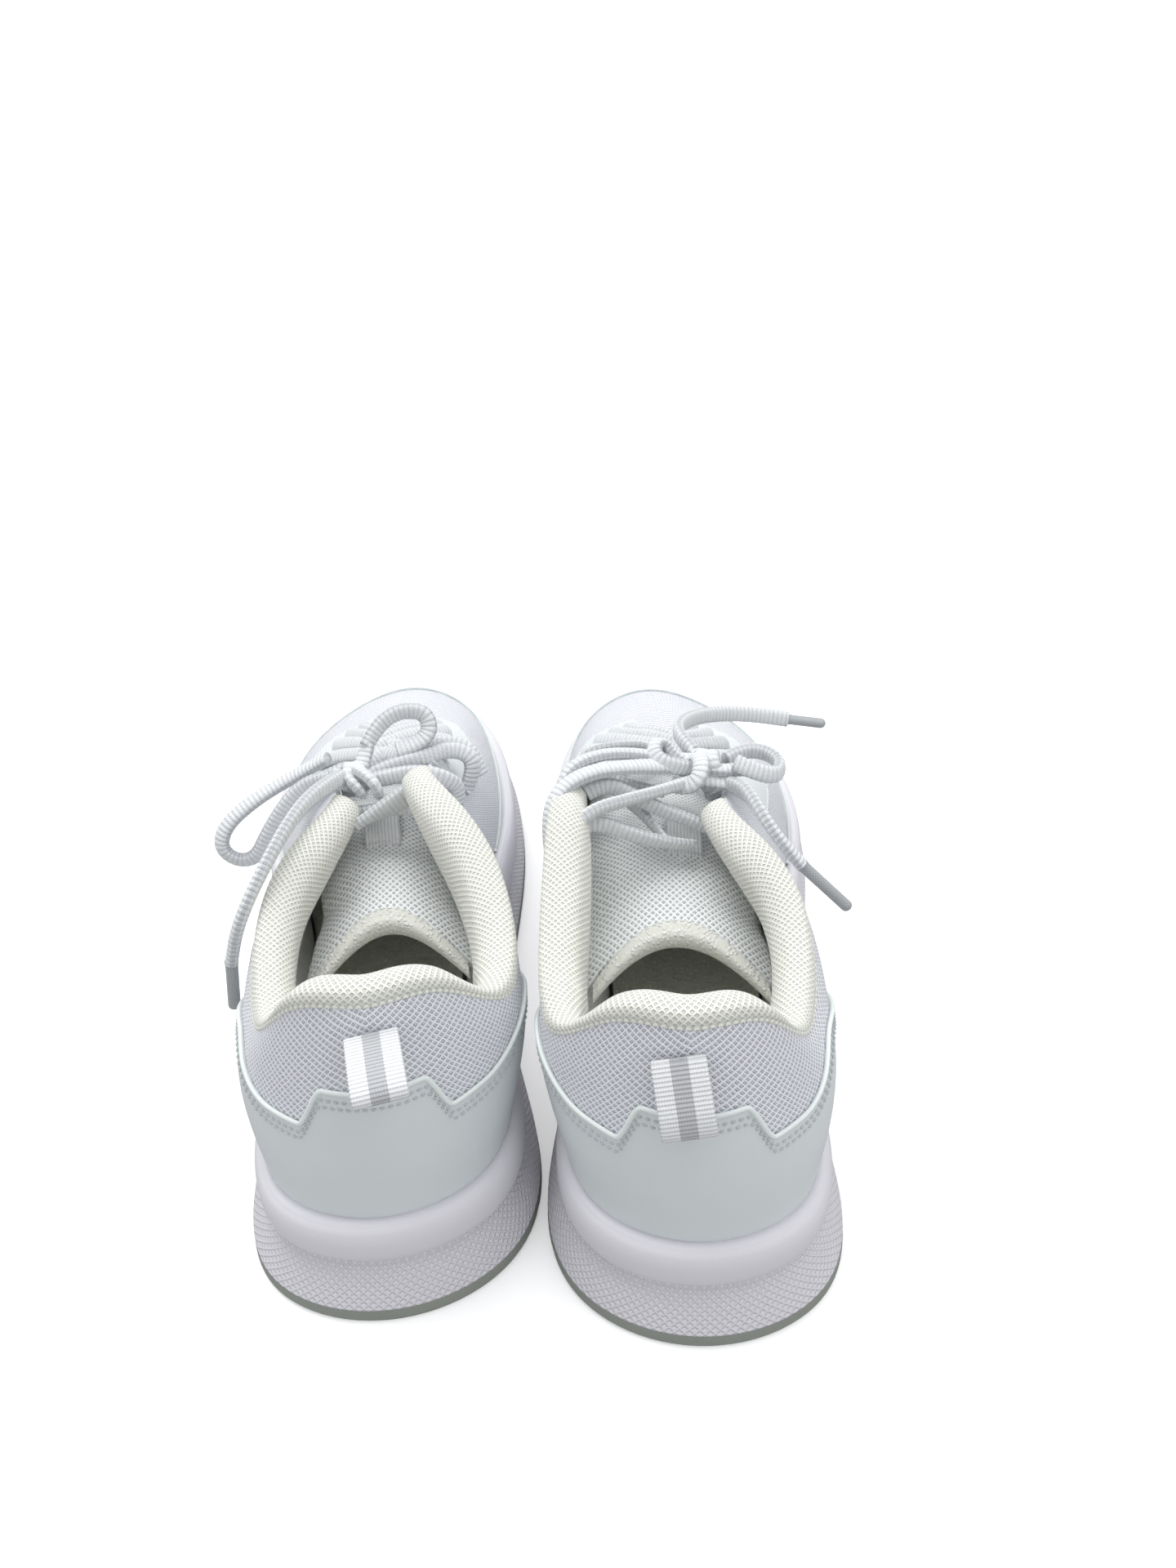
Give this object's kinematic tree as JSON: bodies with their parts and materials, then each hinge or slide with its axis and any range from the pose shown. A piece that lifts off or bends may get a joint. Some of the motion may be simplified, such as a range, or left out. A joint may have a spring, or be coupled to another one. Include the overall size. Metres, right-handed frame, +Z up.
{
  "type": "pair of cheer shoes",
  "caption": "Pair of low white cheer trainers with mesh uppers, padded collars, tied laces, heel pull loops and thick two-part soles.",
  "frame": {"origin": "on the ground at the middle of the pair's footprint", "axes": "+Z up, +Y towards the toes, +X towards the right shoe"},
  "size_m": [0.218, 0.2948, 0.109],
  "materials": {
    "rubber": "pale grey-green moulded rubber, matt, with cross grooves",
    "foam_sole": "white moulded foam with a faint lavender cast and a fine diamond texture low down",
    "board": "stiff fibre board, hidden inside the shoe",
    "sock_fabric": "dark olive-grey knitted sock liner",
    "mesh": "white sandwich mesh with open rhombic holes",
    "film": "smooth matt film with a cool white colour and a raised cut edge",
    "film_green": "smooth matt film over the toe, cool white",
    "lining_fabric": "thin white knitted lining",
    "collar_mesh": "cream spacer mesh over padding",
    "padding": "soft polyurethane padding, covered",
    "tongue_mesh": "white air mesh with large round holes",
    "binding": "cream fine-mesh binding",
    "webbing": "white woven tape",
    "loop_webbing": "white ribbed webbing with a grey middle stripe",
    "lace": "white flat-oval braided lace",
    "aglet": "clear plastic sleeve over the lace end"
  },
  "bodies": {
    "left_shoe": {"left_aglet_side": "aglet", "left_bow_loop": "lace", "left_bow_loop_small": "lace", "left_collar_foam": "padding", "left_collar_lining": "collar_mesh", "left_eyestay_inner": "film", "left_eyestay_outer": "film", "left_heel_counter": "board", "left_heel_overlay": "film", "left_insole_board": "board", "left_lace_keeper": "webbing", "left_lace_knot": "lace", "left_lace_tail_side": "lace", "left_laces": "lace", "left_lining": "lining_fabric", "left_midsole": "foam_sole", "left_outsole": "rubber", "left_sockliner": "sock_fabric", "left_toe_overlay": "film_green", "left_toe_puff": "board", "left_tongue_root": "tongue_mesh", "left_upper_mesh": "mesh"},
    "left_tongue": {"left_tongue_binding": "binding", "left_tongue_flap": "tongue_mesh"},
    "left_pull_loop": {"left_pull_loop": "loop_webbing"},
    "right_shoe": {"right_aglet_front": "aglet", "right_aglet_side": "aglet", "right_bow_loop_small": "lace", "right_collar_foam": "padding", "right_collar_lining": "collar_mesh", "right_eyestay_inner": "film", "right_eyestay_outer": "film", "right_heel_counter": "board", "right_heel_overlay": "film", "right_insole_board": "board", "right_lace_keeper": "webbing", "right_lace_knot": "lace", "right_lace_tail_front": "lace", "right_lace_tail_side": "lace", "right_laces": "lace", "right_lining": "lining_fabric", "right_midsole": "foam_sole", "right_outsole": "rubber", "right_sockliner": "sock_fabric", "right_toe_overlay": "film_green", "right_toe_puff": "board", "right_tongue_root": "tongue_mesh", "right_upper_mesh": "mesh"},
    "right_tongue": {"right_tongue_binding": "binding", "right_tongue_flap": "tongue_mesh"},
    "right_pull_loop": {"right_pull_loop": "loop_webbing"}
  },
  "joints": [
    {"name": "right_shoe_apart", "type": "slide", "parent": "left_shoe", "child": "right_shoe", "axis": [1, 0, 0], "range_m": [0, 0.15]},
    {"name": "left_tongue_lift", "type": "hinge", "parent": "left_shoe", "child": "left_tongue", "pos_m": [-0.04269, -0.03424, 0.07336], "axis": [-0.9962, -0.0872, 0], "range_deg": [0, 9], "stiffness_Nm_per_rad": 0.03},
    {"name": "left_loop_swing", "type": "hinge", "parent": "left_shoe", "child": "left_pull_loop", "pos_m": [-0.03426, -0.11826, 0.08714], "axis": [-0.9962, -0.0872, 0], "range_deg": [-50, 40], "stiffness_Nm_per_rad": 0.005},
    {"name": "right_tongue_lift", "type": "hinge", "parent": "right_shoe", "child": "right_tongue", "pos_m": [0.04179, -0.04643, 0.07336], "axis": [-0.9971, 0.0767, 0], "range_deg": [0, 9], "stiffness_Nm_per_rad": 0.03},
    {"name": "right_loop_swing", "type": "hinge", "parent": "right_shoe", "child": "right_pull_loop", "pos_m": [0.03468, -0.13057, 0.08714], "axis": [-0.9971, 0.0767, 0], "range_deg": [0, 90], "stiffness_Nm_per_rad": 0.005}
  ]
}
